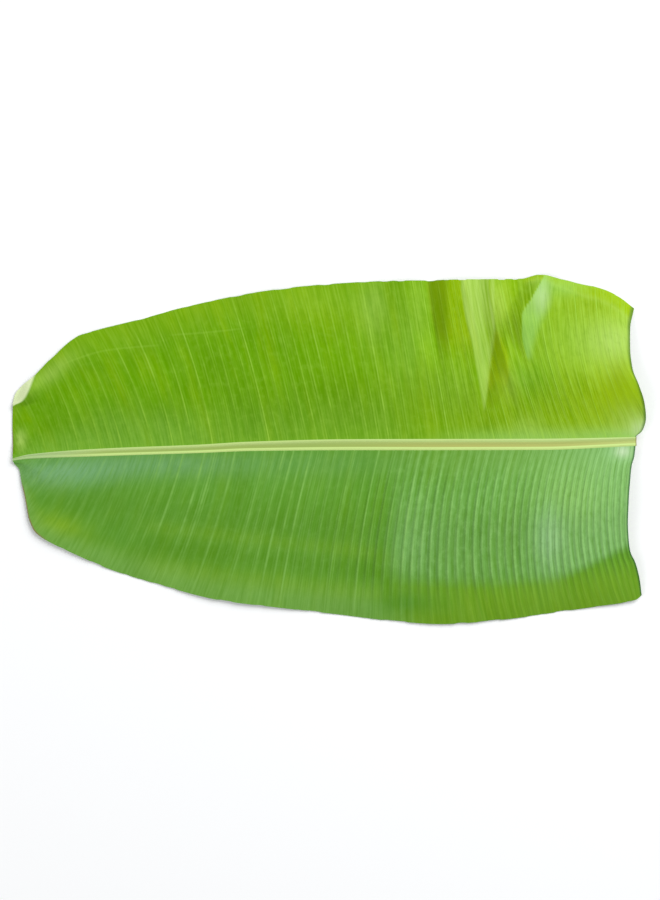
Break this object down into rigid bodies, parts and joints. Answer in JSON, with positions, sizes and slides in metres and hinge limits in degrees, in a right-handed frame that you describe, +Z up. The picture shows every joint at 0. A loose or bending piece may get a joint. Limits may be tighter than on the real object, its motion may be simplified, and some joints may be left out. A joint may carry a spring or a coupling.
{
  "type": "banana leaf",
  "caption": "Tip end of a fresh banana leaf, cut across and lying upper side up: a channelled midrib with a keel below, ribbed blade halves, and folds near the cut end.",
  "frame": {"origin": "centre of the leaf's outline, on the surface it lies on", "axes": "+X along the midrib from the tip to the cut end, +Y to the far margin, the one with the folds, +Z up, out of the leaf's upper side"},
  "size_m": [0.5404, 0.299, 0.0185],
  "materials": {
    "leaf": "satin"
  },
  "bodies": {
    "root": {"banana_leaf": "leaf"}
  },
  "joints": []
}
